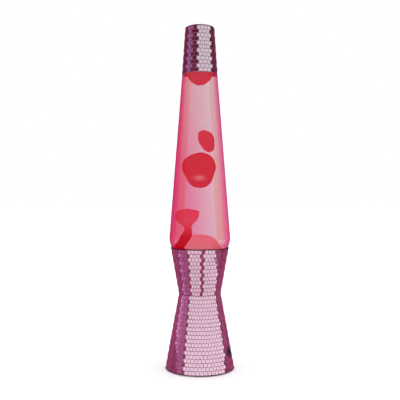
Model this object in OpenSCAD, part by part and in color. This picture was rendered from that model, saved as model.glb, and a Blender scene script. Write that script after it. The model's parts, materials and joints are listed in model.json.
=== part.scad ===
// Lava lamp: a spun hourglass base with a mosaic wrap, a tapered glass globe that
// lifts out of it, and a loose tapered cap. A 25 W lamp in the base heats the wax.
// Millimetres, +Z up. -Y is the front. The origin is on the table, on the lamp's axis.

/* [Base] */
// Height of the base's bottom edge above the table
edge_z = 1; // [0.8:0.1:1.2]
// Height of the waist
waist_z = 80.9; // [80:0.1:82]
// Height of the rim that holds the globe
rim_z = 130.4; // [129.8:0.1:131]
// Radius over the mosaic at the bottom edge
edge_r = 37.3; // [36.8:0.1:38.5]
// Radius over the mosaic at the waist
waist_r = 22.8; // [22.7:0.1:23.4]
// Radius of the rim
rim_r = 31.6; // [31.5:0.1:32]
// Thickness of the spun sheet
shell_t = 0.6; // [0.5:0.05:0.65]
// Thickness of the mosaic wrap
wrap_t = 0.45; // [0.3:0.05:0.5]

/* [Globe] */
// Height of the globe's bottom
globe_z = 104; // [103.8:0.1:105]
// Widest radius of the globe
belly_r = 33.1; // [33:0.1:34]
// Height of the widest place
belly_z = 140.9; // [140:0.1:142]
// Radius of the globe under the cap
shoulder_r = 19.4; // [19.3:0.05:19.45]
// Height of the ledge that carries the cap
ledge_z = 316.4; // [316:0.1:316.5]
// Wall thickness of the glass
glass_t = 2.2; // [1.8:0.1:2.5]

/* [Cap] */
// Height of the cap's bottom edge
cap_z = 317.1; // [317.1:0.1:318]
// Height of the cap's top
cap_top_z = 368.2; // [366:0.1:372]
// Radius over the mosaic at the cap's bottom edge
cap_r = 19.45; // [19.4:0.05:19.8]
// Radius over the mosaic at the cap's top
cap_top_r = 15.9; // [15.7:0.1:17]

/* [Bulb] */
// Radius of the bulb's round top
bulb_r = 17.45; // [16:0.05:17.5]
// Length of the bulb over its contact
bulb_l = 58; // [56:0.5:58.5]
// Radius of the bulb's screw cap
screw_r = 8.3; // [8:0.05:8.35]
// Height that the bulb climbs for each turn
thread_pitch = 2.82; // [2.82:0.01:2.83]

/* [Wax and liquid] */
// Height of the wax pool's flat surface
pool_z = 118; // [116:0.5:119]
// Radius of the mound on the pool
mound_r = 18; // [16:0.5:18.5]
// Radius of the wax that hangs under the cap
hanging_r = 11.5; // [10:0.1:12]
// Depth of the wax that hangs under the cap
hanging_l = 13.4; // [11:0.1:14]
// Gap between loose wax and the liquid round it
wax_gap = 0.2; // [0.15:0.05:0.3]

/* [Cord gland] */
// Height of the gland on the base
gland_z = 20.5; // [17:0.5:22]
// Angle of the gland from +X towards +Y
gland_az = -24; // [-30:1:30]
// Bore of the gland
gland_bore = 6; // [4:0.5:6]

/* [Cover and feet] */
// Number of vent slots in the bottom cover
vents = 16; // [8:1:18]
// Number of rubber feet
feet = 4; // [3:1:6]
// Radius of the circle that the feet stand on
feet_circle_r = 28.5; // [28:0.5:29]

/* [Hidden] */
$fn = 96;

// Sheet and wrap together
skin_t = shell_t + wrap_t;
// Bare hem at the bottom edge and bare lip at the rim
hem_h = 0.7;
lip_h = 1;
// Inner radius of the two flanges that meet at the waist
flange_r = 19.05;
eyelet_r = 18.4;
// Play between pieces that are assembled loosely
play = 0.05;
wrap_end_gap = 0.15;

// The socket hangs from the waist on a strap
bridge_z = waist_z - 58.9;
bridge_t = 1.2;
leg_x = 20.2;
leg_t = 0.8;
leg_w = 8;
socket_z = bridge_z + bridge_t + play;
socket_top_z = bridge_z + 26.6;
socket_floor_z = bridge_z + 9;
tip_z = bridge_z + 11.2;
nipple_r = 4.8;
thread_clear_r = 4.85;

// The bottom cover is drawn up into the cone by a nut on the nipple
cover_z = 2;
cover_t = 2;
cover_skirt_z = 9;
recess_r = 10.5;
recess_top_z = 9.6;
recess_t = 1.6;
// Undersides that the two locknuts clamp: the cover's recess and the strap
clamped_z = [recess_top_z - recess_t, bridge_z];
nut_h = 3;
washer_t = 0.8;
foot_r = 4.5;
foot_stem_r = 2;

// Glass below the rim: it follows the inside of the cone
seat_z = rim_z - 1.8;
seat_r = rim_r - 1.7;
seat_slope = 0.18;
rim_glass_r = rim_r - 0.82;
corner_r = 6;
bottom_t = 3.5;
// Belly: an arc between the steep taper from the rim and the long upper taper
belly_bend = 19.1;
belly_a = 16.81;
upper_a = 4.48;
// Shoulder, neck and lip
neck_r = 11.5;
shoulder_z = 325;
shoulder_bend = 6;
lip_r = 13.2;
lip_z = 344.5;
lip_top_z = 349;
cap_edge_r = 1.6;
cap_plate_t = 0.8;

// Points along an arc of a profile, from angle a0 to a1
function arc(cx, cz, r, a0, a1, n) =
    [for (i = [0 : n]) let (a = a0 + (a1 - a0) * i / n) [cx + r * cos(a), cz + r * sin(a)]];

// Radius over the mosaic at height z on the two cones and the cap
function lower_r(z) = edge_r + (waist_r - edge_r) * (z - edge_z) / (waist_z - edge_z);
function upper_r(z) = waist_r + (rim_r - waist_r) * (z - waist_z) / (rim_z - waist_z);
function cap_side_r(z) = cap_r + (cap_top_r - cap_r) * (z - cap_z) / (cap_top_z - cap_z);

// The globe's outline from its bottom to its lip, moved in by t along its normals
function globe_side(t) = let (
    taper_a = atan(seat_slope),
    corner_z = globe_z + corner_r,
    corner_x = seat_r - seat_slope * (seat_z - corner_z) - corner_r / cos(taper_a),
    bend_x = belly_r - belly_bend,
    neck_bend_x = neck_r + shoulder_bend,
    neck_bend_z = shoulder_z + 2 * shoulder_bend * sin(60)
) concat(
    arc(corner_x, corner_z, corner_r - t, -90, -taper_a, 8),
    [[seat_r - t, seat_z]],
    [[rim_glass_r - t, rim_z]],
    arc(bend_x, belly_z, belly_bend - t, -belly_a, upper_a, 8),
    t > 0
        ? [[shoulder_r - t, ledge_z - 1], [cap_r - 1.35 - t, ledge_z + 2.2]]
        : [[shoulder_r, ledge_z], [shoulder_r - 0.1, ledge_z + 0.45], [cap_r - 1, ledge_z + 0.55],
           [cap_r - 1.35, ledge_z + 1.4]],
    arc(neck_r, shoulder_z, shoulder_bend - t, 0, 60, 6),
    arc(neck_bend_x, neck_bend_z, shoulder_bend + t, 240, 180, 6)
);

// Profile of what fills the globe up to the neck, g clear of the glass
function globe_fill(g) = let (
    t = glass_t + g,
    side = globe_side(t)
) concat([[0, globe_z + bottom_t + g]], [for (p = side) [p[0], max(p[1], globe_z + bottom_t + g)]]);

module lathe(points) {
    rotate_extrude()
        polygon(points);
}

module ring(r_in, r_out, z0, z1) {
    lathe([[r_in, z0], [r_out, z0], [r_out, z1], [r_in, z1]]);
}

// A band that lies from a to b outside the lower cone's mosaic
module cone_band(a, b) {
    low = gland_z - 12;
    high = gland_z + 12;
    lathe([
        [lower_r(low) + a, low], [lower_r(low) + b, low],
        [lower_r(high) + b, high], [lower_r(high) + a, high]
    ]);
}

// Places children at the gland, with +Z along the cone's outward normal
module at_gland() {
    cone_a = atan((edge_r - waist_r) / (waist_z - edge_z));
    rotate([0, 0, gland_az])
        translate([lower_r(gland_z), 0, gland_z])
            rotate([0, 90 - cone_a, 0])
                children();
}

module gland_hole(r) {
    at_gland()
        translate([0, 0, -6])
            cylinder(r = r, h = 12);
}

// ---- Base ----

module lower_cone_shell() {
    hem_z = edge_z + hem_h;
    under_z = waist_z - shell_t;
    color("mediumvioletred")
        difference() {
            lathe([
                [lower_r(edge_z) - skin_t, edge_z], [lower_r(edge_z), edge_z],
                [lower_r(hem_z), hem_z], [lower_r(hem_z) - wrap_t, hem_z],
                [lower_r(waist_z) - wrap_t, waist_z], [flange_r, waist_z],
                [flange_r, under_z], [lower_r(under_z) - skin_t, under_z]
            ]);
            gland_hole(4.3);
        }
}

module lower_mosaic_wrap() {
    low = edge_z + hem_h;
    high = waist_z - wrap_end_gap;
    color("orchid")
        difference() {
            lathe([
                [lower_r(low) - wrap_t, low], [lower_r(low), low],
                [lower_r(high), high], [lower_r(high) - wrap_t, high]
            ]);
            gland_hole(4.3);
        }
}

module upper_cone_shell() {
    lip_low = rim_z - lip_h;
    flare_z = rim_z - 1.2;
    over_z = waist_z + shell_t;
    color("mediumvioletred")
        lathe([
            [flange_r, waist_z], [upper_r(waist_z) - wrap_t, waist_z],
            [upper_r(lip_low) - wrap_t, lip_low], [upper_r(lip_low), lip_low],
            [rim_r, rim_z], [rim_r - 0.6, rim_z],
            [upper_r(flare_z) - skin_t, flare_z], [upper_r(over_z) - skin_t, over_z],
            [flange_r, over_z]
        ]);
}

module upper_mosaic_wrap() {
    low = waist_z + wrap_end_gap;
    high = rim_z - lip_h;
    color("orchid")
        lathe([
            [upper_r(low) - wrap_t, low], [upper_r(low), low],
            [upper_r(high), high], [upper_r(high) - wrap_t, high]
        ]);
}

// A rolled ring through both flanges and the strap's ring
module waist_eyelet() {
    collar_r = leg_x - 0.1;
    collar_t = 0.55;
    low = waist_z - 1.45;
    high = waist_z + shell_t + play;
    color("silver")
        lathe([
            [eyelet_r, low - collar_t], [collar_r, low - collar_t], [collar_r, low],
            [flange_r - play, low], [flange_r - play, high], [collar_r, high],
            [collar_r, high + collar_t], [eyelet_r, high + collar_t]
        ]);
}

module socket_bracket() {
    ring_z = waist_z - 1.4;
    ring_t = 0.75;
    color("gainsboro") {
        ring(flange_r, 21.4, ring_z, ring_z + ring_t);
        for (side = [0, 180])
            rotate([0, 0, side])
                translate([leg_x, -leg_w / 2, bridge_z])
                    cube([leg_t, leg_w, ring_z + ring_t - bridge_z]);
        difference() {
            union() {
                translate([-leg_x, -leg_w / 2, bridge_z])
                    cube([2 * leg_x, leg_w, bridge_t]);
                translate([0, 0, bridge_z])
                    cylinder(r = 9, h = bridge_t);
            }
            translate([0, 0, bridge_z - 1])
                cylinder(r = thread_clear_r, h = bridge_t + 2);
        }
    }
}

module socket_body() {
    body_r = 12.6;
    cavity_r = 9.3;
    color("ivory")
        difference() {
            lathe([
                [thread_clear_r, socket_z], [body_r - 0.8, socket_z], [body_r, socket_z + 0.8],
                [body_r, socket_top_z - 1], [body_r - 1, socket_top_z],
                [cavity_r, socket_top_z], [cavity_r, socket_floor_z],
                [1.6, socket_floor_z], [1.6, socket_floor_z - 2],
                [thread_clear_r, socket_floor_z - 2]
            ]);
            for (side = [0, 180])
                rotate([0, 0, side])
                    translate([-4, 10.2, socket_z - 1])
                        cube([8, 4, 8]);
        }
}

module socket_screw_shell() {
    low = socket_floor_z + play;
    color("gold")
        lathe([
            [5.2, low], [screw_r + 0.7, low], [screw_r + 0.7, socket_top_z - 1],
            [screw_r + 0.3, socket_top_z - 1], [screw_r + 0.3, low + 0.4], [5.2, low + 0.4]
        ]);
}

// A rivet and a leaf that folds back over it
module socket_centre_contact() {
    leaf_z = socket_floor_z + play;
    leaf_w = 4;
    leaf_t = 0.4;
    leaf_end = 4.6;
    spring_h = tip_z - 0.3 - leaf_z;
    color("gold") {
        translate([0, 0, socket_floor_z - 1.9])
            cylinder(r = 1.5, h = 2.2);
        translate([-leaf_end, -leaf_w / 2, leaf_z])
            cube([2 * leaf_end, leaf_w, leaf_t]);
        translate([leaf_end - leaf_t, -leaf_w / 2, leaf_z])
            cube([leaf_t, leaf_w, spring_h]);
        translate([-2, -leaf_w / 2, leaf_z + spring_h - leaf_t])
            cube([leaf_end + 2, leaf_w, leaf_t]);
    }
}

module socket_terminals() {
    plate_t = 0.8;
    screw_z = socket_z + 3.6;
    color("goldenrod")
        for (side = [0, 180])
            rotate([0, 0, side]) {
                translate([-3, 10.2 + play, socket_z + 0.4])
                    cube([6, plate_t, 6]);
                difference() {
                    translate([0, 10.2 + play, screw_z])
                        rotate([-90, 0, 0])
                            cylinder(r = 2.2, h = plate_t + 1.3);
                    translate([-3, 10.2 + plate_t + 0.9, screw_z - 0.3])
                        cube([6, 2, 0.6]);
                }
            }
}

// A hollow threaded tube joins the socket, the strap and the bottom cover
module socket_nipple() {
    color("silver")
        ring(3.4, nipple_r, 3.6, socket_floor_z - 2.1);
}

module locknuts() {
    color("silver")
        for (under_z = clamped_z)
            translate([0, 0, under_z - washer_t - 2 * play - nut_h])
                difference() {
                    cylinder(r = 8.1, h = nut_h, $fn = 6);
                    translate([0, 0, -1])
                        cylinder(r = thread_clear_r, h = nut_h + 2);
                }
}

// Split spring washers on top of the nuts
module lock_washers() {
    color("silver")
        for (under_z = clamped_z)
            translate([0, 0, under_z - washer_t - play])
                difference() {
                    ring(thread_clear_r, 7.6, 0, washer_t);
                    translate([0, -0.5, -1])
                        cube([10, 1, 3]);
                }
}

function cover_side_r(z) = lower_r(z) - skin_t - play;

module bottom_cover() {
    wall_t = 1.6;
    top = cover_z + cover_t;
    color("dimgray")
        difference() {
            lathe([
                [recess_r, cover_z], [cover_side_r(cover_z), cover_z],
                [cover_side_r(cover_skirt_z), cover_skirt_z],
                [cover_side_r(cover_skirt_z) - wall_t, cover_skirt_z],
                [cover_side_r(top) - wall_t, top], [recess_r + wall_t, top],
                [recess_r + wall_t, recess_top_z], [thread_clear_r, recess_top_z],
                [thread_clear_r, recess_top_z - recess_t], [recess_r, recess_top_z - recess_t]
            ]);
            for (i = [0 : vents - 1])
                rotate([0, 0, i * 360 / vents])
                    translate([14.5, -0.9, cover_z - 1])
                        cube([8, 1.8, cover_t + 2]);
            for (i = [0 : feet - 1])
                rotate([0, 0, 45 + i * 360 / feet])
                    translate([feet_circle_r, 0, cover_z - 1])
                        cylinder(r = foot_stem_r + play, h = cover_t + 2);
        }
}

// Each foot is pushed through the cover and held by the bead above it
module rubber_feet() {
    top = cover_z + cover_t;
    color("#202020")
        for (i = [0 : feet - 1])
            rotate([0, 0, 45 + i * 360 / feet])
                translate([feet_circle_r, 0, 0])
                    lathe([
                        [0, 0], [foot_r - 0.5, 0], [foot_r, 0.5], [foot_r, cover_z],
                        [foot_stem_r, cover_z], [foot_stem_r, top + play],
                        [foot_stem_r + 0.8, top + play], [foot_stem_r, top + 1.6],
                        [0, top + 1.6]
                    ]);
}

// Rubber grommet: two flanges that follow the cone, and the neck between them
module cord_grommet() {
    color("#101010")
        difference() {
            union() {
                intersection() {
                    at_gland()
                        translate([0, 0, -4])
                            cylinder(r = 4.25, h = 8);
                    cone_band(-skin_t - 1, 0.5);
                }
                intersection() {
                    at_gland()
                        translate([0, 0, -1])
                            cylinder(r = 4.9, h = 4);
                    cone_band(0.02, 0.6);
                }
                intersection() {
                    at_gland()
                        translate([0, 0, -5])
                            cylinder(r = 5.6, h = 5);
                    cone_band(-skin_t - 1.2, -skin_t - 0.02);
                }
            }
            gland_hole(gland_bore / 2);
        }
}

// ---- Bulb ----

module bulb_contact_tip() {
    color("silver")
        lathe(concat([[0, tip_z + 1]], arc(0, tip_z + 2.6, 2.6, -90, -38, 6), [[2, tip_z + 1]]));
}

module bulb_insulator() {
    color("#181818")
        lathe([
            [0, tip_z + 1.03], [3.6, tip_z + 1.03], [screw_r - 0.9, tip_z + 2.4],
            [screw_r - 0.9, tip_z + 3], [0, tip_z + 3]
        ]);
}

// Thin threaded shell, drawn with one round crest for each turn of the thread
module bulb_screw_cap() {
    low = tip_z + 2.3;
    turns = 4;
    thread_z = low + 1.6;
    top = tip_z + 20;
    color("darkkhaki")
        lathe(concat(
            [[screw_r - 0.85, low], [screw_r - 0.45, low]],
            [for (i = [0 : turns * 6])
                [screw_r - 0.25 - 0.25 * cos(i * 60), thread_z + i * thread_pitch / 6]],
            [[screw_r - 0.1, top], [screw_r - 0.5, top]],
            [[screw_r - 0.9, thread_z + turns * thread_pitch], [screw_r - 0.9, thread_z]]
        ));
}

// Round top, and a straight taper down to the neck
function bulb_outline(t) = let (
    round_z = tip_z + bulb_l - bulb_r,
    neck_z = tip_z + 21,
    low_r = 7 - t,
    taper_a = 31
) concat(
    [[low_r, tip_z + 12]],
    [[low_r, neck_z]],
    arc(0, round_z, bulb_r - t, -taper_a, 90, 14)
);

module bulb_envelope() {
    outer = bulb_outline(0);
    inner = bulb_outline(0.7);
    color("whitesmoke", 0.5)
        lathe(concat(outer, [for (i = [len(inner) - 1 : -1 : 0]) inner[i]]));
}

// Pinched glass mount that seals the lead wires
module bulb_stem() {
    low = tip_z + 12.5;
    color("lightcyan", 0.6)
        lathe([
            [0, low + 2], [4.4, low], [6.2, low], [6.2, low + 1], [3, low + 4],
            [2.2, low + 17], [1.6, low + 18], [0, low + 18]
        ]);
}

stem_top_z = tip_z + 30.5;
filament_z = tip_z + 42;
filament_r = 7;

module bulb_lead_wires() {
    rise = filament_z - stem_top_z - play;
    spread = filament_r - 1.1;
    color("silver")
        for (side = [0, 180])
            rotate([0, 0, side])
                translate([1.1, 0, stem_top_z + play])
                    rotate([0, atan(spread / rise), 0])
                        cylinder(r = 0.3, h = norm([spread, rise]), $fn = 16);
}

// Coil bent in an arc between the two wires
module bulb_filament() {
    color("dimgray")
        translate([0, 0, filament_z + 0.3])
            rotate_extrude(angle = 180)
                translate([filament_r, 0])
                    circle(r = 0.25, $fn = 16);
}

// ---- Globe ----

module globe_glass() {
    outer = globe_side(0);
    inner = [for (p = globe_side(glass_t)) [p[0], max(p[1], globe_z + bottom_t)]];
    lip = [
        [lip_r, lip_z], [lip_r, lip_top_z - 0.6], [lip_r - 0.6, lip_top_z],
        [neck_r - glass_t + 0.5, lip_top_z], [neck_r - glass_t, lip_top_z - 0.5]
    ];
    color("hotpink", 0.35)
        lathe(concat(
            [[0, globe_z + 0.8], [12, globe_z]], outer, [[neck_r, lip_z - 1]], lip,
            [for (i = [len(inner) - 1 : -1 : 0]) inner[i]], [[0, globe_z + bottom_t]]
        ));
}

module crown_cap() {
    skirt_r = 14.4;
    skirt_z = lip_top_z - 3.6;
    plate_z = lip_top_z + 0.95;
    flutes = 21;
    color("gold")
        difference() {
            lathe([
                [0, plate_z], [lip_r + play, plate_z], [lip_r + play, skirt_z],
                [skirt_r, skirt_z], [skirt_r - 0.8, plate_z - 0.1],
                [skirt_r - 2, plate_z + 0.6], [0, plate_z + 0.6]
            ]);
            for (i = [0 : flutes - 1])
                rotate([0, 0, i * 360 / flutes])
                    translate([skirt_r + 0.65, 0, skirt_z - 1])
                        cylinder(r = 1, h = 3.8);
        }
}

module crown_liner() {
    color("whitesmoke")
        ring(0, lip_r - 0.3, lip_top_z + play, lip_top_z + 0.9);
}

module wax_mound_shape(g) {
    flat_z = pool_z + g;
    round_z = pool_z + 7.5;
    fill = [for (p = globe_fill(0.05)) if (p[1] < pool_z) p];
    side_r = seat_r - seat_slope * (seat_z - pool_z) - glass_t - 0.05;
    lathe(concat(
        fill, [[side_r, pool_z]], g > 0 ? [[side_r, flat_z]] : [],
        [[mound_r + 3 + g, flat_z + 0.8], [mound_r + 0.6 + g, round_z - 3.5]],
        arc(0, round_z, mound_r + g, 0, 90, 12)
    ));
}

// Wax that is rising from the pool: a foot by the wall, a thin stalk and a wide head
module wax_column_shape(g) {
    foot = [-17.5, -12.5, 131];
    bend = [-15.2, -10.5, 138];
    waist = [-10.6, -8.5, 151.5];
    $fn = 28;
    hull() {
        translate([-17.5, -11.5, 126]) sphere(r = 5.4 + g);
        translate(foot) sphere(r = 4.6 + g);
    }
    hull() {
        translate(foot) sphere(r = 4.6 + g);
        translate(bend) sphere(r = 3.9 + g);
    }
    hull() {
        translate(bend) sphere(r = 3.9 + g);
        translate(waist) sphere(r = 3.1 + g);
    }
    hull() {
        translate(waist) sphere(r = 3.1 + g);
        translate([-10.8, -8.5, 158.5]) sphere(r = 3.9 + g);
    }
    hull() {
        translate([-10.8, -8.5, 158.5]) sphere(r = 3.9 + g);
        translate([-17.4, -8.5, 163.4]) sphere(r = 5.8 + g);
        translate([-11.6, -8.5, 163.7]) sphere(r = 8.4 + g);
        translate([-5.2, -8.5, 166.5]) sphere(r = 4.7 + g);
    }
}

module wax_mound() {
    color("crimson") {
        wax_mound_shape(0);
        wax_column_shape(0);
    }
}

// A deep bowl of wax that hangs from the neck, with a flared edge
module wax_top_shape(g) {
    hang_z = ledge_z + 1.5;
    inner = [for (p = globe_fill(0.05)) if (p[1] > hang_z + 3 && p[1] < 332) p];
    lathe(concat(
        [for (a = [-90 : 10 : 0]) [(hanging_r + g) * cos(a), hang_z + (hanging_l + g) * sin(a)]],
        [[hanging_r + 1.2 + g, hang_z + 1.8]], inner, [[0, inner[len(inner) - 1][1]]]
    ));
}

module wax_top_pool() {
    color("crimson")
        wax_top_shape(0);
}

module wax_large_shape(g) {
    $fn = 40;
    hull() {
        translate([-1.05, 0.5, 218.7]) sphere(r = 14.05 + g);
        translate([-0.2, 0.5, 205.3]) sphere(r = 10.2 + g);
    }
}

module wax_large_blob() {
    color("crimson")
        wax_large_shape(0);
}

module wax_small_shape(g) {
    $fn = 32;
    hull() {
        translate([5.2, -1, 250]) sphere(r = 6.6 + g);
        translate([7.6, -1, 237]) sphere(r = 5 + g);
    }
}

module wax_small_blob() {
    color("crimson")
        wax_small_shape(0);
}

// Tinted water round the wax
module liquid() {
    low = pool_z + play;
    high = shoulder_z + 0.1;
    body = [for (p = globe_fill(0.05)) if (p[1] > low + 1 && p[1] < high) p];
    low_r = seat_r - seat_slope * (seat_z - low) - glass_t - 0.05;
    top = body[len(body) - 1];
    color("hotpink", 0.4)
        difference() {
            lathe(concat([[0, low], [low_r, low]], body, [[0, top[1]]]));
            wax_mound_shape(0.1);
            wax_column_shape(0.1);
            wax_top_shape(0.1);
            wax_large_shape(wax_gap);
            wax_small_shape(wax_gap);
        }
}

// Loose wire coil in the pool that leads heat into the wax
module heating_coil() {
    turns = 5;
    steps = 24;
    sides = 8;
    coil_r = 15;
    wire_r = 0.6;
    pitch = 1.5;
    coil_z = globe_z + bottom_t + 1.5;
    count = turns * steps;
    points = [for (i = [0 : count], k = [0 : sides - 1])
        let (a = i * 360 / steps, b = k * 360 / sides, r = coil_r + wire_r * cos(b))
            [r * cos(a), r * sin(a), coil_z + pitch * i / steps + wire_r * sin(b)]];
    walls = [for (i = [0 : count - 1], k = [0 : sides - 1])
        let (n = (k + 1) % sides)
            [i * sides + k, i * sides + n, (i + 1) * sides + n, (i + 1) * sides + k]];
    color("silver")
        polyhedron(
            points,
            concat(
                walls,
                [[for (k = [sides - 1 : -1 : 0]) k]],
                [[for (k = [0 : sides - 1]) count * sides + k]]
            )
        );
}

// ---- Cap ----

module cap_shell() {
    plate_top = cap_top_z - wrap_t;
    bend_r = cap_edge_r - wrap_t;
    side = cap_side_r(cap_top_z - cap_edge_r);
    color("mediumvioletred")
        lathe(concat(
            [[cap_side_r(cap_z) - skin_t, cap_z], [cap_side_r(cap_z) - wrap_t, cap_z]],
            arc(side - cap_edge_r, cap_top_z - cap_edge_r, bend_r, 0, 90, 6),
            [[0, plate_top], [0, plate_top - cap_plate_t]],
            [[side - skin_t - 0.6, plate_top - cap_plate_t]],
            [[side - skin_t, plate_top - cap_plate_t - 0.6]]
        ));
}

module cap_mosaic_wrap() {
    low = cap_z + wrap_end_gap;
    side = cap_side_r(cap_top_z - cap_edge_r);
    bend_x = side - cap_edge_r;
    bend_z = cap_top_z - cap_edge_r;
    color("orchid")
        lathe(concat(
            [[cap_side_r(low) - wrap_t, low], [cap_side_r(low), low]],
            arc(bend_x, bend_z, cap_edge_r, 0, 90, 6),
            arc(bend_x, bend_z, cap_edge_r - wrap_t, 90, 0, 6)
        ));
}

lower_cone_shell();
lower_mosaic_wrap();
upper_cone_shell();
upper_mosaic_wrap();
waist_eyelet();
socket_bracket();
socket_body();
socket_screw_shell();
socket_centre_contact();
socket_terminals();
socket_nipple();
locknuts();
lock_washers();
bottom_cover();
rubber_feet();
cord_grommet();
bulb_contact_tip();
bulb_insulator();
bulb_screw_cap();
bulb_envelope();
bulb_stem();
bulb_lead_wires();
bulb_filament();
globe_glass();
crown_cap();
crown_liner();
liquid();
wax_mound();
wax_top_pool();
heating_coil();
wax_large_blob();
wax_small_blob();
cap_shell();
cap_mosaic_wrap();
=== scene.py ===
import json
import math
import random

import bmesh
import bpy
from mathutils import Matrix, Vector


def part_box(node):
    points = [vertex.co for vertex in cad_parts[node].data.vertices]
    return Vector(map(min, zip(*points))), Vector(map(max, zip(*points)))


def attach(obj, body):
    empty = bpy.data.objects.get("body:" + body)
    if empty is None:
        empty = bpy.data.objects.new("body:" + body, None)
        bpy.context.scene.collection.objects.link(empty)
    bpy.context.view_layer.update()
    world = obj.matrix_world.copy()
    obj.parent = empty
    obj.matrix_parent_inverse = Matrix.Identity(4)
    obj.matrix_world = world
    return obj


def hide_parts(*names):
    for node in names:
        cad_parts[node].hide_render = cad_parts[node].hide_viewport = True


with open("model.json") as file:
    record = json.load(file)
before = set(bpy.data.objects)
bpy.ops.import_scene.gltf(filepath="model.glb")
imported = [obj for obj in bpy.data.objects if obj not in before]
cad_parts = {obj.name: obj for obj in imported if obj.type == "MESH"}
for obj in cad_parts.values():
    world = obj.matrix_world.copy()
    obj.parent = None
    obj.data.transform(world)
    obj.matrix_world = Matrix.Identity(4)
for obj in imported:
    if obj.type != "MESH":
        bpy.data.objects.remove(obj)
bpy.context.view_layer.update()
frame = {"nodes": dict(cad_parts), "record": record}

MM = 0.001
NODES = frame["nodes"]

# ---------------------------------------------------------------- measures, in millimetres


def node_low(name):
    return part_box(name)[0].z / MM


def node_high(name):
    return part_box(name)[1].z / MM


def ring_radius(name, z):
    """The node's largest distance from the axis among its points nearest to height z."""
    reach = 0.05
    points = [v.co for v in NODES[name].data.vertices]
    near = min(abs(p.z / MM - z) for p in points)
    return max(math.hypot(p.x, p.y) / MM for p in points if abs(p.z / MM - z) < near + reach)


RIM_Z = node_high("upper_cone_shell")
GLOBE_Z = node_low("globe_glass")
GLOBE_TOP_Z = node_high("globe_glass")
RIM_R = ring_radius("upper_cone_shell", RIM_Z)
BELLY_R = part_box("globe_glass")[1].x / MM
WRAP_T = 0.45
BACKING_T = 0.2

# ---------------------------------------------------------------- mesh helpers


def new_object(name, verts, faces, smooth=True):
    mesh = bpy.data.meshes.new(name)
    mesh.from_pydata([tuple(c * MM for c in v) for v in verts], [], faces)
    mesh.validate()
    for p in mesh.polygons:
        p.use_smooth = smooth
    obj = bpy.data.objects.new(name, mesh)
    bpy.context.scene.collection.objects.link(obj)
    return obj


def recalc(obj):
    bm = bmesh.new()
    bm.from_mesh(obj.data)
    bmesh.ops.recalc_face_normals(bm, faces=bm.faces)
    bm.to_mesh(obj.data)
    bm.free()
    return obj


def sharpen(obj, degrees):
    obj.data.set_sharp_from_angle(angle=math.radians(degrees))
    return obj


def arc(cx, cz, r, a0, a1, n):
    """Points of an arc in a profile, from angle a0 to a1 in degrees."""
    angles = [math.radians(a0 + (a1 - a0) * i / n) for i in range(n + 1)]
    return [(cx + r * math.cos(a), cz + r * math.sin(a)) for a in angles]


def line(a, b, n):
    return [(a[0] + (b[0] - a[0]) * i / n, a[1] + (b[1] - a[1]) * i / n) for i in range(n + 1)]


def tidy(profile):
    """Drops points that lie on the point before them."""
    gap = 0.01
    kept = [profile[0]]
    for p in profile[1:]:
        if math.dist(p, kept[-1]) > gap:
            kept.append(p)
    return kept


def lathe(name, profile, segments, closed=False, sharp=40):
    """Turns a profile of (radius, height) round the axis. An end at radius 0 closes to a point, and
    closed joins the two ends. Edges bent by more than sharp degrees are shaded as edges."""
    profile = tidy(profile)
    verts, rings = [], []
    for r, z in profile:
        if r < 1e-6:
            rings.append([len(verts)])
            verts.append((0, 0, z))
            continue
        rings.append(list(range(len(verts), len(verts) + segments)))
        for k in range(segments):
            a = 2 * math.pi * k / segments
            verts.append((r * math.sin(a), -r * math.cos(a), z))
    pairs = list(zip(rings, rings[1:]))
    if closed:
        pairs.append((rings[-1], rings[0]))
    faces = []
    for low, high in pairs:
        for k in range(segments):
            n = (k + 1) % segments
            quad = [low[k % len(low)], low[n % len(low)], high[n % len(high)], high[k % len(high)]]
            corners = list(dict.fromkeys(quad))
            if len(corners) > 2:
                faces.append(corners)
    return sharpen(recalc(new_object(name, verts, faces)), sharp)


def catmull(points, steps):
    """A smooth line through the points, with steps pieces between each two."""
    ends = [points[0], *points, points[-1]]
    out = []
    for p0, p1, p2, p3 in zip(ends, ends[1:], ends[2:], ends[3:]):
        for i in range(steps):
            t = i / steps
            out.append(tuple(
                0.5 * (2 * b + (c - a) * t + (2 * a - 5 * b + 4 * c - d) * t * t
                       + (3 * b - a - 3 * c + d) * t ** 3)
                for a, b, c, d in zip(p0, p1, p2, p3)))
    out.append(points[-1])
    return out


# ---------------------------------------------------------------- shader helpers

# sockets of a Mix node that mixes colours
MIX_FACTOR, MIX_FIRST, MIX_SECOND = 0, 6, 7
MIX_RESULT = 2


def new_material(name):
    mat = bpy.data.materials.new(name)
    mat.use_nodes = True
    tree = mat.node_tree
    shader = tree.nodes["Principled BSDF"]
    return mat, tree, shader


def add(tree, kind, **values):
    node = tree.nodes.new(kind)
    for key, value in values.items():
        if hasattr(node, key):
            setattr(node, key, value)
        else:
            node.inputs[key].default_value = value
    return node


def coords(tree, scale):
    """Object coordinates, stretched by scale."""
    where = add(tree, "ShaderNodeTexCoord")
    mapping = add(tree, "ShaderNodeMapping")
    mapping.inputs["Scale"].default_value = scale
    tree.links.new(where.outputs["Object"], mapping.inputs["Vector"])
    return mapping.outputs["Vector"]


def noise(tree, scale, detail, stretch=(1, 1, 1)):
    tex = add(tree, "ShaderNodeTexNoise", Scale=scale, Detail=detail, Roughness=0.5)
    tree.links.new(coords(tree, stretch), tex.inputs["Vector"])
    return tex.outputs["Fac"]


def ramp(tree, source, stops):
    node = add(tree, "ShaderNodeValToRGB")
    elements = node.color_ramp.elements
    while len(elements) < len(stops):
        elements.new(0.5)
    for element, (place, colour) in zip(elements, stops):
        element.position = place
        element.color = (*colour, 1)
    tree.links.new(source, node.inputs["Fac"])
    return node.outputs["Color"]


def bump(tree, shader, source, strength, distance):
    node = add(tree, "ShaderNodeBump", Strength=strength, Distance=distance)
    tree.links.new(source, node.inputs["Height"])
    tree.links.new(node.outputs["Normal"], shader.inputs["Normal"])


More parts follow.
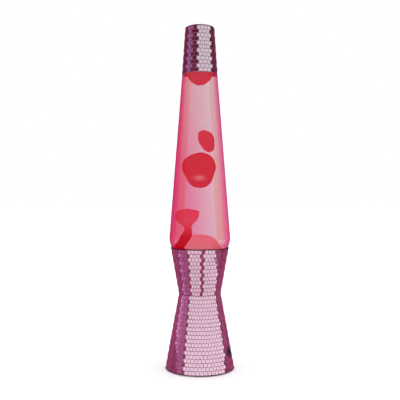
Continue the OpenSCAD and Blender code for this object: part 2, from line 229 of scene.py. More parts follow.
def spread(tree, source, low, high):
    """Stretches a value of 0 to 1 over low to high."""
    node = add(tree, "ShaderNodeMapRange")
    node.inputs["To Min"].default_value = low
    node.inputs["To Max"].default_value = high
    tree.links.new(source, node.inputs["Value"])
    return node.outputs["Result"]


def share(tree, source, low, high):
    """Where the source lies between low and high, as 0 to 1."""
    node = add(tree, "ShaderNodeMapRange")
    node.inputs["From Min"].default_value = low
    node.inputs["From Max"].default_value = high
    tree.links.new(source, node.inputs["Value"])
    return node.outputs["Result"]


def let_light_through(mat, tint=(1, 1, 1)):
    """Shadow rays pass straight through the glass, so light reaches what is inside."""
    tree = mat.node_tree
    shader = tree.nodes["Principled BSDF"]
    out = tree.nodes["Material Output"]
    path = add(tree, "ShaderNodeLightPath")
    clear = add(tree, "ShaderNodeBsdfTransparent")
    clear.inputs["Color"].default_value = (*tint, 1)
    mix = add(tree, "ShaderNodeMixShader")
    tree.links.new(path.outputs["Is Shadow Ray"], mix.inputs["Fac"])
    tree.links.new(shader.outputs["BSDF"], mix.inputs[1])
    tree.links.new(clear.outputs["BSDF"], mix.inputs[2])
    tree.links.new(mix.outputs["Shader"], out.inputs["Surface"])


# ---------------------------------------------------------------- materials


def mosaic_material():
    mat, tree, shader = new_material("mosaic_facets")
    tone = add(tree, "ShaderNodeAttribute", attribute_name="tone")
    base = ramp(tree, tone.outputs["Fac"], [
        (0.0, (0.085, 0.006, 0.026)), (0.3, (0.14, 0.012, 0.045)), (0.7, (0.265, 0.036, 0.11)),
        (1.0, (0.31, 0.046, 0.14))])
    tree.links.new(base, shader.inputs["Base Color"])
    shader.inputs["Specular IOR Level"].default_value = 0
    tree.links.new(spread(tree, noise(tree, 2600, 2), 0.4, 0.5), shader.inputs["Roughness"])
    gloss = add(tree, "ShaderNodeAttribute", attribute_name="gloss")
    tree.links.new(gloss.outputs["Fac"], shader.inputs["Coat Weight"])
    shader.inputs["Coat Roughness"].default_value = 0.03
    shader.inputs["Coat IOR"].default_value = 1.9
    return mat


def backing_material():
    mat, tree, shader = new_material("mosaic_backing")
    colour = ramp(tree, noise(tree, 1500, 2), [(0.3, (0.17, 0.03, 0.08)), (0.7, (0.24, 0.045, 0.12))])
    tree.links.new(colour, shader.inputs["Base Color"])
    shader.inputs["Roughness"].default_value = 0.6
    shader.inputs["Specular IOR Level"].default_value = 0
    shader.inputs["Coat Weight"].default_value = 0.35
    shader.inputs["Coat Roughness"].default_value = 0.1
    shader.inputs["Coat IOR"].default_value = 1.9
    bump(tree, shader, noise(tree, 3000, 1), 0.05, 0.00002)
    return mat


def lacquer_material(name, dark, light, shine):
    """Dark maroon lacquer over spun sheet, with the spinning's fine rings under it."""
    mat, tree, shader = new_material(name)
    rings = noise(tree, 120, 3, stretch=(0.02, 0.02, 14))
    colour = ramp(tree, rings, [(0.3, dark), (0.7, light)])
    tree.links.new(colour, shader.inputs["Base Color"])
    tree.links.new(spread(tree, noise(tree, 700, 3), 0.3, 0.45), shader.inputs["Roughness"])
    shader.inputs["Specular IOR Level"].default_value = shine
    bump(tree, shader, rings, 0.12, 0.00005)
    return mat


def metal_material(name, colour, dark, roughness):
    mat, tree, shader = new_material(name)
    scale = 900
    tree.links.new(
        ramp(tree, noise(tree, scale, 4), [(0.3, dark), (0.65, colour)]),
        shader.inputs["Base Color"])
    shader.inputs["Metallic"].default_value = 1
    tree.links.new(
        spread(tree, noise(tree, scale * 0.4, 3), roughness * 0.7, roughness * 1.4),
        shader.inputs["Roughness"])
    bump(tree, shader, noise(tree, scale * 1.7, 2), 0.08, 0.00005)
    return mat


def plain_material(name, colour, dark, roughness, grain, depth, coat=0.0):
    """A moulded or fired surface. grain is the scale of its texture and depth the height of it."""
    mat, tree, shader = new_material(name)
    tree.links.new(
        ramp(tree, noise(tree, grain * 0.3, 4), [(0.3, dark), (0.7, colour)]),
        shader.inputs["Base Color"])
    tree.links.new(
        spread(tree, noise(tree, grain * 0.6, 2), roughness * 0.85, min(1, roughness * 1.15)),
        shader.inputs["Roughness"])
    shader.inputs["Coat Weight"].default_value = coat
    bump(tree, shader, noise(tree, grain, 2), 0.35, depth)
    return mat


def globe_glass_material():
    """Clear in the middle and hot pink towards its edges, where the eye looks along the wall."""
    mat, tree, shader = new_material("globe_glass")
    facing = add(tree, "ShaderNodeLayerWeight", Blend=0.5)
    clearness = 0.72
    bands = [
        (0.0, (1, 1, 1)), (0.15, (1, 1, 1)), (0.172, (1, 0.72, 0.70)), (0.232, (1, 0.62, 0.50)),
        (0.286, (1, 0.57, 0.50)), (0.35, (1, 0.40, 0.50)), (0.428, (1, 0.23, 0.49)),
        (0.525, (0.97, 0.14, 0.44)), (0.632, (0.90, 0.085, 0.37)), (0.757, (0.75, 0.06, 0.28)),
        (1.0, (0.5, 0.04, 0.18))]
    tint = ramp(tree, facing.outputs["Facing"],
                [(place, tuple(clearness * c for c in colour)) for place, colour in bands])
    tree.links.new(tint, shader.inputs["Base Color"])
    shader.inputs["Transmission Weight"].default_value = 1
    shader.inputs["Roughness"].default_value = 0.0
    shader.inputs["IOR"].default_value = 1.5
    let_light_through(mat, (0.92, 0.85, 0.88))
    return mat


def inner_glass_material():
    mat, _, shader = new_material("globe_glass_inside")
    shader.inputs["Base Color"].default_value = (1, 1, 1, 1)
    shader.inputs["Transmission Weight"].default_value = 1
    shader.inputs["Roughness"].default_value = 0.0
    shader.inputs["IOR"].default_value = 1.5
    let_light_through(mat, (0.98, 0.96, 0.97))
    return mat


def ledge_material():
    """Frosted pink ledge and neck, with a painted glow in place of the light the glass carries up from
    the liquid.
    """
    mat, tree, shader = new_material("frosted_ledge_painted_glow")
    colour = ramp(tree, noise(tree, 400, 2), [(0.3, (0.60, 0.13, 0.22)), (0.7, (0.66, 0.15, 0.25))])
    tree.links.new(colour, shader.inputs["Base Color"])
    shader.inputs["Roughness"].default_value = 0.5
    shader.inputs["Specular IOR Level"].default_value = 0
    # painted glow: the ledge is no lamp
    shader.inputs["Emission Color"].default_value = (0.5, 0.09, 0.18, 1)
    shader.inputs["Emission Strength"].default_value = 0.5
    return mat


def clear_glass_material():
    mat, tree, shader = new_material("bulb_glass")
    tree.links.new(
        ramp(tree, noise(tree, 80, 2), [(0.3, (0.95, 0.96, 0.95)), (0.7, (0.99, 0.99, 0.99))]),
        shader.inputs["Base Color"])
    shader.inputs["Transmission Weight"].default_value = 1
    shader.inputs["Roughness"].default_value = 0.02
    shader.inputs["IOR"].default_value = 1.5
    let_light_through(mat)
    return mat


def liquid_material():
    mat, tree, shader = new_material("pink_liquid")
    shader.inputs["Base Color"].default_value = (1, 1, 1, 1)
    shader.inputs["Transmission Weight"].default_value = 1
    shader.inputs["Roughness"].default_value = 0
    shader.inputs["IOR"].default_value = 1.333
    dye = add(tree, "ShaderNodeVolumeAbsorption")
    dye.inputs["Color"].default_value = (1, 0.05, 0.28, 1)
    dye.inputs["Density"].default_value = 10
    tree.links.new(dye.outputs["Volume"], tree.nodes["Material Output"].inputs["Volume"])
    let_light_through(mat)
    return mat


def wax_material(name, colour, deep, edge, glow):
    """Soft wax whose emission is a painted glow, standing in for the bulb's light from below, with a
    painted sheen: a paler rim where the skin is seen edge on.
    """
    mat, tree, shader = new_material(name)
    body = ramp(tree, noise(tree, 60, 3), [(0.25, deep), (0.75, colour)])
    # painted sheen: towards the silhouette the colour turns to the paler edge colour
    rim = add(tree, "ShaderNodeLayerWeight", Blend=0.5)
    painted_sheen_mask = ramp(tree, rim.outputs["Facing"], [(0.8, (0, 0, 0)), (0.97, (1, 1, 1))])
    mix = add(tree, "ShaderNodeMix", data_type="RGBA")
    tree.links.new(painted_sheen_mask, mix.inputs[MIX_FACTOR])
    tree.links.new(body, mix.inputs[MIX_FIRST])
    mix.inputs[MIX_SECOND].default_value = (*edge, 1)
    tree.links.new(mix.outputs[MIX_RESULT], shader.inputs["Base Color"])
    shader.inputs["Roughness"].default_value = 0.35
    shader.inputs["Specular IOR Level"].default_value = 0
    # the emission is a painted glow: the wax is no lamp
    shader.inputs["Emission Color"].default_value = (*glow, 1)
    shader.inputs["Emission Strength"].default_value = 1
    bump(tree, shader, noise(tree, 140, 1), 0.05, 0.0003)
    return mat


def add_painted_highlight(mat, centre, half_size, glow, highlight_colour):
    """A painted highlight: a soft pale patch low on the front of the blob, standing in for the floor's
    reflection there. Sizes in millimetres.
    """
    tree = mat.node_tree
    shader = tree.nodes["Principled BSDF"]
    where = add(tree, "ShaderNodeTexCoord")
    shift = add(tree, "ShaderNodeVectorMath", operation="SUBTRACT")
    tree.links.new(where.outputs["Object"], shift.inputs[0])
    shift.inputs[1].default_value = [c * MM for c in centre]
    scale = add(tree, "ShaderNodeVectorMath", operation="DIVIDE")
    tree.links.new(shift.outputs["Vector"], scale.inputs[0])
    scale.inputs[1].default_value = [h * MM for h in half_size]
    length = add(tree, "ShaderNodeVectorMath", operation="LENGTH")
    tree.links.new(scale.outputs["Vector"], length.inputs[0])
    stops = [(place, tuple(a + (b - a) * share for a, b in zip(glow, highlight_colour)))
             for place, share in ((0, 1), (0.35, 0.7), (0.7, 0.2), (1, 0))]
    colour = ramp(tree, length.outputs["Value"], stops)
    tree.links.new(colour, shader.inputs["Emission Color"])


def column_material():
    """The wax column is deep red at its foot and paler in the lobe on top."""
    mat, tree, shader = new_material("column_wax")
    where = add(tree, "ShaderNodeTexCoord")
    axes = add(tree, "ShaderNodeSeparateXYZ")
    tree.links.new(where.outputs["Object"], axes.inputs["Vector"])
    foot_z, lobe_z = 130, 172
    colour = ramp(tree, share(tree, axes.outputs["Z"], foot_z * MM, lobe_z * MM), [
        (0.0, (0.50, 0.002, 0.012)), (0.3, (0.55, 0.012, 0.036)), (0.5, (0.69, 0.046, 0.092)),
        (0.66, (0.76, 0.100, 0.160)), (1.0, (0.74, 0.066, 0.122))])
    tree.links.new(colour, shader.inputs["Base Color"])
    # the emission follows the colour: a painted glow, brighter in the paler lobe
    tree.links.new(colour, shader.inputs["Emission Color"])
    shader.inputs["Emission Strength"].default_value = 0.6
    shader.inputs["Roughness"].default_value = 0.35
    shader.inputs["Specular IOR Level"].default_value = 0
    bump(tree, shader, noise(tree, 140, 1), 0.05, 0.0003)
    return mat


MOSAIC = mosaic_material()
BACKING = backing_material()
LACQUER = lacquer_material("maroon_lacquer", (0.030, 0.001, 0.006), (0.050, 0.002, 0.011), 0.06)
CAP_LACQUER = lacquer_material("cap_lacquer", (0.09, 0.006, 0.024), (0.12, 0.009, 0.034), 0.3)
STEEL = metal_material("zinc_plate", (0.62, 0.62, 0.64), (0.48, 0.49, 0.5), 0.3)
BRASS = metal_material("brass", (0.78, 0.55, 0.25), (0.6, 0.4, 0.17), 0.25)
TIN = metal_material("gold_tinplate", (0.8, 0.66, 0.36), (0.68, 0.54, 0.28), 0.3)
WIRE = metal_material("nickel_wire", (0.66, 0.64, 0.6), (0.5, 0.48, 0.45), 0.3)
TUNGSTEN = metal_material("tungsten", (0.25, 0.24, 0.23), (0.12, 0.12, 0.12), 0.5)
SOLDER = metal_material("solder", (0.5, 0.5, 0.52), (0.35, 0.35, 0.37), 0.5)
PORCELAIN = plain_material("porcelain", (0.86, 0.84, 0.78), (0.8, 0.77, 0.7), 0.2, 900, 0.00003, 0.6)
PLASTIC = plain_material("black_plastic", (0.03, 0.03, 0.033), (0.018, 0.018, 0.02), 0.55, 2500, 0.00008)
RUBBER = plain_material("black_rubber", (0.010, 0.008, 0.008), (0.005, 0.004, 0.004), 0.8, 2200, 0.0001)
LINER = plain_material("liner_plastic", (0.85, 0.85, 0.82), (0.78, 0.78, 0.74), 0.5, 1500, 0.00005)
VITRITE = plain_material(
    "black_insulator", (0.015, 0.015, 0.018), (0.008, 0.008, 0.01), 0.15, 900, 0.00003)
GLASS = globe_glass_material()
GLASS_INSIDE = inner_glass_material()
LEDGE = ledge_material()
BULB_GLASS = clear_glass_material()
LIQUID = liquid_material()
# the last colour of each wax is its painted glow, and the one before it the colour of its painted sheen
# at the rim
WAX = wax_material(
    "red_wax", (0.66, 0.023, 0.055), (0.61, 0.019, 0.045), (0.8, 0.15, 0.2), (0.41, 0.046, 0.070))
LARGE_PAINTED_GLOW = (0.40, 0.034, 0.052)
LARGE_WAX = wax_material(
    "deep_red_wax", (0.65, 0.015, 0.036), (0.60, 0.012, 0.030), (0.75, 0.08, 0.12), LARGE_PAINTED_GLOW)
# painted highlight low on the front of the large blob
add_painted_highlight(LARGE_WAX, (-0.4, -11, 204.6), (8.5, 9, 4.6), LARGE_PAINTED_GLOW, (0.56, 0.22, 0.25))
COLUMN_WAX = column_material()
# a paler copy of the wax with a stronger painted glow: the mound painted as lit from below
MOUND_WAX = wax_material(
    "paler_lit_wax", (0.75, 0.17, 0.22), (0.72, 0.15, 0.20), (0.8, 0.25, 0.28), (0.48, 0.176, 0.215))


def paint(obj, *materials):
    obj.data.materials.clear()
    for m in materials:
        obj.data.materials.append(m)
    return obj


# ---------------------------------------------------------------- mosaic

# facets round each wrap, and rings of them
TILES = {"lower": 56, "upper": 52, "cap": 26}
ROWS = {"lower": 20, "upper": 12, "cap": 12}
CONE_GROOVE = 0.3
CAP_GROOVE = 0.2
CAP_EDGE_R = 1.6
CAP_PHASE = math.radians(10.3)
# the facets and the cap's roll lie this far inside the wrap's outer face
SINK = 0.03
# radius of the hole round the cord's gland, and how near it a facet is cut with it
GLAND_HOLE_R = 4.3
GLAND_REACH = 9


def tile(centre_a, half_a, z_low, z_high, radius, rng, groove):
    """One facet as a small closed block: a flat top, softened edges, and sides down to the backing.
    radius(z) is the wrap's outer radius at that height. Gives the vertices, the faces and the gloss
    of each vertex, which is full on the flat top and fades out over the softened edges."""
    bevel = 0.18
    inner_bevel = 0.45 * bevel
    overlap = 0.02
    # depth and gloss of the outer edge, of the edge inside it and of the flat top
    drops = (0.12, 0.03, 0.0)
    glosses = (0, 0.3, 1)
    depth = WRAP_T - BACKING_T + overlap
    tilt_u = rng.uniform(-0.003, 0.003)
    tilt_v = rng.uniform(-0.003, 0.003)
    ca, sa = math.cos(centre_a), math.sin(centre_a)
    slope = (radius(z_high) - radius(z_low)) / (z_high - z_low)
    length = math.hypot(1, slope)
    out = Vector((sa, -ca, -slope)) / length
    side = Vector((ca, sa, 0))
    mid_z = (z_low + z_high) / 2
    half_v = (z_high - z_low) * length / 2 - groove / 2
    steps = len(drops)
    n = 2 * steps
    insets = [0, inner_bevel, bevel, -bevel, -inner_bevel, 0]

    def place(i, j, drop):
        v = (-half_v if j < steps else half_v) + insets[j]
        z = mid_z + v / length
        half_u = radius(z) * math.sin(half_a) - groove / 2
        u = (-half_u if i < steps else half_u) + insets[i]
        r = radius(z) * math.cos(half_a)
        base = Vector((r * sa, -r * ca, z))
        return base + side * u - out * (drop + tilt_u * u + tilt_v * v + SINK)

    verts, faces, gloss = [], [], []
    for j in range(n):
        for i in range(n):
            ring = min(i, j, n - 1 - i, n - 1 - j)
            verts.append(place(i, j, drops[ring]))
            gloss.append(glosses[ring])
    for j in range(n - 1):
        for i in range(n - 1):
            a = j * n + i
            faces.append((a, a + 1, a + n + 1, a + n))
    edge = (list(range(n)) + [j * n + n - 1 for j in range(1, n)]
            + [(n - 1) * n + i for i in range(n - 2, -1, -1)] + [j * n for j in range(n - 2, 0, -1)])
    first = len(verts)
    for k in edge:
        j, i = divmod(k, n)
        verts.append(place(i, j, depth))
        gloss.append(glosses[0])
    count = len(edge)
    for k in range(count):
        m = (k + 1) % count
        faces.append((edge[m], edge[k], first + k, first + m))
    faces.append(tuple(first + k for k in range(count - 1, -1, -1)))
    return verts, faces, gloss


def give(obj, name, values):
    """Stores one number for each vertex."""
    attribute = obj.data.attributes.new(name, "FLOAT", "POINT")
    attribute.data.foreach_set("value", values)


def mosaic(name, z_low, z_high, radius, rows, tiles, phase, seed, groove, tones_range, hole=None):
    """Rings of facets, each ring shifted by half a facet, over a thin backing sleeve. The rings are
    counted from the top edge down. The facets near the hole are a piece of their own, to be cut."""
    rng = random.Random(seed)
    half_a = math.pi / tiles
    height = (z_high - z_low) / rows
    groups = {"far": ([], [], [], []), "near": ([], [], [], [])}
    for row in range(rows):
        low = z_low + (rows - 1 - row) * height
        for k in range(tiles):
            a = (k + 0.5 * (row % 2)) * 2 * half_a + phase
            verts, faces, gloss = tile(a, half_a, low, low + height, radius, rng, groove)
            tone = rng.uniform(*tones_range)
            near = hole is not None and (verts[0] - hole).length < GLAND_REACH
            all_verts, all_faces, tones, shine = groups["near" if near else "far"]
            start = len(all_verts)
            all_verts += verts
            all_faces += [tuple(start + i for i in f) for f in faces]
            tones += [tone] * len(verts)
            shine += gloss
    made = []
    for key, (verts, faces, tones, shine) in groups.items():
        if not verts:
            continue
        part = new_object(f"{name}_{key}", verts, faces, smooth=False)
        give(part, "tone", tones)
        give(part, "gloss", shine)
        paint(part, MOSAIC, BACKING)
        made.append(part)
    inner = WRAP_T
    outer = WRAP_T - BACKING_T
    corners = [(radius(z_low) - inner, z_low), (radius(z_low) - outer, z_low),
               (radius(z_high) - outer, z_high), (radius(z_high) - inner, z_high)]
    sleeve = lathe(f"{name}_backing", corners, segments=tiles * 2, closed=True)
    paint(sleeve, MOSAIC, BACKING)
    for p in sleeve.data.polygons:
        p.material_index = 1
    made.append(sleeve)
    return made


def join(name, objects):
    for o in bpy.context.selected_objects:
        o.select_set(False)
    for o in objects:
        o.select_set(True)
    bpy.context.view_layer.objects.active = objects[0]
    bpy.ops.object.join()
    objects[0].name = name
    objects[0].data.name = name
    return objects[0]


def cut_round(obj, centre, axis, radius):
    """Cuts a round hole of that radius, in millimetres, through a piece."""
    depth = 14
    bpy.ops.mesh.primitive_cylinder_add(
        vertices=48, radius=radius * MM, depth=depth * MM, location=centre * MM,
        rotation=axis.to_track_quat("Z", "Y").to_euler())
    tool = bpy.context.object
    cut = obj.modifiers.new("hole", "BOOLEAN")
    cut.operation = "DIFFERENCE"
    cut.solver = "EXACT"
    cut.object = tool
    bpy.context.view_layer.objects.active = obj
    bpy.ops.object.modifier_apply(modifier=cut.name)
    bpy.data.objects.remove(tool)


def cone(node):
    """Height range of a wrap node and its outer radius as a function of height."""
    low, high = node_low(node), node_high(node)
    r_low, r_high = ring_radius(node, low), ring_radius(node, high)
    return low, high, lambda z: r_low + (r_high - r_low) * (z - low) / (high - low)


def gland_axis():
    """A point on the gland's axis near the mosaic, and the axis' outward direction."""
    outward = 0.75
    mount = next(m for m in frame["record"]["mounts"] if m["name"] == "cord_bore")
    axis = Vector(mount["axis"])
    return Vector(mount["pos_m"]) / MM + axis * outward, axis


def make_mosaics():
    centre, axis = gland_axis()
    low, high, radius = cone("lower_mosaic_wrap")
    parts = mosaic("lower", low, high, radius, ROWS["lower"], TILES["lower"], phase=0, seed=3,
                   groove=CONE_GROOVE, tones_range=(0.6, 0.9), hole=centre)
    for part in parts:
        if part.name != "lower_far":
            cut_round(part, centre, axis, GLAND_HOLE_R)
    lower = join("lower_mosaic", parts)
    low, high, radius = cone("upper_mosaic_wrap")
    parts = mosaic("upper", low, high, radius, ROWS["upper"], TILES["upper"], phase=0, seed=5,
                   groove=CONE_GROOVE, tones_range=(0.55, 0.85))
    upper = join("upper_mosaic", parts)
    return lower, upper


def make_cap_mosaic():
    """Facets up to the cap's rounded edge, and a plain roll of the same finish over that edge."""
    node = "cap_mosaic_wrap"
    low, top = node_low(node), node_high(node)
    r_low = ring_radius(node, low)
    flat_top = top - CAP_EDGE_R
    r_bend = ring_radius(node, flat_top)
    slope = (r_bend - r_low) / (flat_top - low)
    rows, tiles = ROWS["cap"], TILES["cap"]

    def radius(z):
        return r_low + slope * (z - low)

    # the cap's facets and roll get a much darker tone than the cones': painted shade on a copy of the
    # same mosaic
    parts = mosaic("cap", low, flat_top, radius, rows, tiles, phase=CAP_PHASE, seed=7,
                   groove=CAP_GROOVE, tones_range=(0.0, 0.25))
    bend = arc(r_bend - CAP_EDGE_R, flat_top, CAP_EDGE_R - SINK, 0, 90, 8)
    under = arc(r_bend - CAP_EDGE_R, flat_top, CAP_EDGE_R - WRAP_T, 90, 0, 8)
    roll = lathe("cap_roll", bend + under, segments=tiles * 4, closed=True)
    give(roll, "tone", [0.1] * len(roll.data.vertices))
    give(roll, "gloss", [1] * len(roll.data.vertices))
    paint(roll, MOSAIC, BACKING)
    return join("cap_mosaic", parts + [roll])


lower_mosaic, upper_mosaic = make_mosaics()
cap_mosaic = make_cap_mosaic()
for piece, node, body in ((lower_mosaic, "lower_mosaic_wrap", "base"),
                          (upper_mosaic, "upper_mosaic_wrap", "base"),
                          (cap_mosaic, "cap_mosaic_wrap", "cap")):
    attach(piece, body)
    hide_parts(node)

# ---------------------------------------------------------------- globe

GLASS_T = 2.2
BOTTOM_T = 3.5
CORNER_R = 6
# where the globe rests in the upper cone, as radius and height, and how it leans in below that
SEAT = (RIM_R - 1.7, RIM_Z - 1.8)
SEAT_SLOPE = 0.18
RIM_GLASS_R = RIM_R - 0.82
BEND_R = 19.1
BELLY_Z = 140.9
BELLY_ANGLES = (-16.81, 4.48)
LEDGE_Z = 316.4
SHOULDER_R = 19.4
LEDGE_FOOT_R = 18.1
NECK_R = 11.5
SHOULDER_Z = 325
SHOULDER_BEND = 6
SHOULDER_ANGLE = 60
LIP_R = 13.2
LIP_Z = 343.5
POOL_Z = 118
# the liquid reaches into the glass by this much, so that no air is left between, and the wax stays
# short of the glass by its gap
LIQUID_OVERLAP = 0.12
LIQUID_TOP_Z = 331
WAX_GAP = 0.05
NECK_WAX_Z = 323
NECK_WAX_TOP_Z = 332


def globe_side(t):
    """The globe's outline from its bottom corner to its neck, t inside the outer face."""
    taper = math.atan(SEAT_SLOPE)
    seat_r, seat_z = SEAT
    corner_z = GLOBE_Z + CORNER_R
    corner_x = seat_r - SEAT_SLOPE * (seat_z - corner_z) - CORNER_R / math.cos(taper)
    corner = arc(corner_x, corner_z, CORNER_R - t, -90, -math.degrees(taper), 14)
    belly = arc(BELLY_R - BEND_R, BELLY_Z, BEND_R - t, *BELLY_ANGLES, 26)
    bend_x = NECK_R + SHOULDER_BEND
    bend_z = SHOULDER_Z + 2 * SHOULDER_BEND * math.sin(math.radians(SHOULDER_ANGLE))
    if t > 0:
        ledge = [(SHOULDER_R - t, LEDGE_Z - 1), (LEDGE_FOOT_R - t, LEDGE_Z + 2.2)]
    else:
        ledge = [(SHOULDER_R, LEDGE_Z), (19.35, LEDGE_Z + 0.25), (19.3, LEDGE_Z + 0.45),
                 (18.45, LEDGE_Z + 0.55), (18.2, LEDGE_Z + 0.75), (LEDGE_FOOT_R, LEDGE_Z + 1.4)]
    seat = (seat_r - t, seat_z)
    rim = (RIM_GLASS_R - t, RIM_Z)
    wall = line(corner[-1], seat, 8) + line(seat, rim, 2) + line(rim, belly[0], 3)
    return (corner + wall + belly + line(belly[-1], ledge[0], 40) + ledge
            + arc(NECK_R, SHOULDER_Z, SHOULDER_BEND - t, 0, SHOULDER_ANGLE, 10)
            + arc(bend_x, bend_z, SHOULDER_BEND + t, 180 + SHOULDER_ANGLE, 180, 10))


def make_glass():
    outer = globe_side(0)
    floor_z = GLOBE_Z + BOTTOM_T
    inner = [(r, max(z, floor_z)) for r, z in globe_side(GLASS_T)]
    under_r, over_r, mouth_r = 0.9, 0.8, 0.6
    lip = ([(NECK_R, LIP_Z)] + arc(LIP_R - under_r, LIP_Z + 1.9, under_r, -60, 0, 4)
           + arc(LIP_R - over_r, GLOBE_TOP_Z - over_r, over_r, 0, 90, 5)
           + arc(NECK_R - GLASS_T + mouth_r, GLOBE_TOP_Z - mouth_r, mouth_r, 90, 180, 4))
    punt = [(r, GLOBE_Z + rise) for r, rise in ((0, 0.8), (5, 0.66), (10, 0.25), (12, 0.05), (13, 0))]
    profile = punt + outer + lip + inner[::-1] + [(0, floor_z)]
    glass = lathe("globe_glass_smooth", profile, segments=200, sharp=35)
    paint(glass, GLASS, GLASS_INSIDE, LEDGE)
    for p in glass.data.polygons:
        r, z = math.hypot(p.center.x, p.center.y) / MM, p.center.z / MM
        under = p.normal.z < -0.95 and z < floor_z
        if under or r > profile_radius(outer, z) - GLASS_T / 2:
            p.material_index = 2 if LEDGE_Z + 0.2 < z < SHOULDER_Z else 0
        else:
            p.material_index = 1
    return glass


def profile_radius(profile, z):
    """The profile's radius at height z."""
    for (r0, z0), (r1, z1) in zip(profile, profile[1:]):
        if z0 <= z <= z1 and z1 > z0:
            return r0 + (r1 - r0) * (z - z0) / (z1 - z0)
    return profile[0][0] if z < profile[0][1] else profile[-1][0]


def fill_profile(overlap, z_top):
    """Outline of what fills the globe up to z_top: the glass's inner face, moved out by overlap."""
    side = [p for p in globe_side(GLASS_T - overlap) if p[1] < z_top]
    floor_z = GLOBE_Z + BOTTOM_T - overlap
    return [(0, floor_z)] + [(r, max(z, floor_z)) for r, z in side]


def make_liquid():
    side = fill_profile(LIQUID_OVERLAP, LIQUID_TOP_Z)
    profile = side + [(0, side[-1][1])]
    return paint(lathe("tinted_water", profile, segments=200, sharp=35), LIQUID)


def blob(name, top, bottom, sides, y, depth, material, segments=64):
    """A rounded lump between a left and a right outline, which pass through the points in sides
    (height, left x, right x) and close at the top and bottom (x, height). depth is its thickness
    from front to back as a share of its width."""
    steps = 8
    left = catmull([top] + [(left_x, z) for z, left_x, right_x in sides] + [bottom], steps)
    right = catmull([top] + [(right_x, z) for z, left_x, right_x in sides] + [bottom], steps)
    verts, faces = [(top[0], y, top[1])], []
    count = len(left) - 2
    for (lx, lz), (rx, rz) in zip(left[1:-1], right[1:-1]):
        cx, cz = (lx + rx) / 2, (lz + rz) / 2
        half = Vector(((rx - lx) / 2, 0, (rz - lz) / 2))
        for k in range(segments):
            a = 2 * math.pi * k / segments
            verts.append((cx + half.x * math.cos(a), y + half.length * depth * math.sin(a),
                          cz + half.z * math.cos(a)))
    verts.append((bottom[0], y, bottom[1]))
    last = len(verts) - 1
    for k in range(segments):
        n = (k + 1) % segments
        faces.append((0, 1 + k, 1 + n))
        for j in range(count - 1):
            a, b = 1 + j * segments, 1 + (j + 1) * segments
            faces.append((a + k, b + k, b + n, a + n))
        a = 1 + (count - 1) * segments
        faces.append((a + k, last, a + n))
    obj = recalc(new_object(name, verts, faces))
    smooth = obj.modifiers.new("soften", "SMOOTH")
    smooth.factor = 0.5
    smooth.iterations = 6
    bpy.context.view_layer.objects.active = obj
    bpy.ops.object.modifier_apply(modifier=smooth.name)
    return paint(obj, material)


def make_mound():
    """The pool on the globe's floor, and the mound that swells from it."""
    round_z = POOL_Z + 6.3
    dome_r = 19.8
    dome = arc(0, round_z, dome_r, 90, -2, 24)
    side = fill_profile(-WAX_GAP, POOL_Z)
    flare = catmull([(dome_r, round_z - 0.8), (20.2, round_z - 3.3), (21.8, POOL_Z + 1.0),
                     (side[-1][0], POOL_Z)], 6)
    profile = dome + flare + side[::-1]
    return paint(lathe("wax_pool", profile, segments=120, sharp=60), MOUND_WAX)


def make_column():
    """The column leans on the mound, and wax runs off its foot in two short tongues."""
    stem = blob(
        "wax_column", (-11.0, 172.1), (-20.5, 122),
        [(169.8, -19.6, -1.4), (166.5, -22.4, -0.7), (163.0, -23.6, -1.2), (160.0, -21.8, -2.5),
         (157.2, -18.9, -4.5), (154.0, -15.4, -7.0), (150.5, -13.9, -7.1), (147.5, -14.4, -6.8),
         (144.5, -16.2, -6.6), (141.5, -18.0, -7.5), (138.5, -19.4, -9.4), (136.0, -22.6, -11.0),
         (133.0, -25.2, -12.8), (129.0, -25.4, -14.4)],
        -8.5, 0.72, COLUMN_WAX)
    tongue = blob(
        "tongue", (-16, 137.4), (-17, 134.6), [(136.7, -19, -12.6), (135.8, -19.5, -11.4)],
        -11.5, 0.45, COLUMN_WAX, segments=32)
    low_tongue = blob(
        "low_tongue", (-18, 132.8), (-19, 129.8), [(132.0, -21, -14.2), (131.0, -21.5, -12.8)],
        -12.5, 0.45, COLUMN_WAX, segments=32)
    return join("wax_column", [stem, tongue, low_tongue])


def make_hanging():
    """Wax that fills the neck, with a deep bowl of it hanging below."""
    bowl = catmull([(0, 304.2), (2.6, 304.8), (5.0, 306.4), (7.1, 308.7), (8.7, 311.2), (9.8, 313.8),
                    (10.5, 316.4), (11.4, 318.6)], 5)
    side = [p for p in fill_profile(-WAX_GAP, NECK_WAX_TOP_Z) if p[1] > NECK_WAX_Z]
    flare = catmull([bowl[-1], (13.2, 321.0), side[0]], 3)
    profile = bowl + flare + side + [(0, side[-1][1])]
    return paint(lathe("wax_in_neck", profile, segments=100, sharp=60), WAX)


glass = make_glass()
liquid = make_liquid()
mound = make_mound()
column = make_column()
hanging = make_hanging()
large = blob("large_wax_blob", (0.9, 232.5), (0.3, 193.7), [
    (229.8, -6.6, 7.8), (225.5, -11.9, 10.8), (221.2, -14.1, 12.3), (215.7, -14.5, 13.0),
    (210.9, -13.6, 12.2), (206.9, -11.8, 11.2), (203.2, -10.5, 10.3), (200.0, -9.2, 9.1),
    (197.2, -7.3, 7.3), (195.0, -4.6, 4.8)], 0.5, 0.96, LARGE_WAX)
small = blob("small_wax_blob", (3.1, 256.4), (7.5, 231.8), [
    (254.3, -0.5, 8.1), (251.3, -1.5, 10.6), (247.0, -1.5, 11.9), (242.8, -0.8, 12.0),
    (239.6, 0.7, 12.1), (236.3, 2.4, 11.8), (233.6, 4.5, 10.4)], -1, 0.95, WAX)
for piece, body, slot, nodes in (
        (glass, "globe", "clear_glass", ["globe_glass"]),
        (liquid, "globe", "pink_liquid", ["liquid"]),
        (mound, "globe", "red_wax", ["wax_mound"]),
        (column, "globe", "red_wax", ["wax_mound"]),
        (hanging, "globe", "red_wax", ["wax_top_pool"]),
        (large, "large_blob", "red_wax", ["wax_large_blob"]),
        (small, "small_blob", "red_wax", ["wax_small_blob"])):
    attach(piece, body)
    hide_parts(*nodes)

# ---------------------------------------------------------------- finishes of the CAD nodes

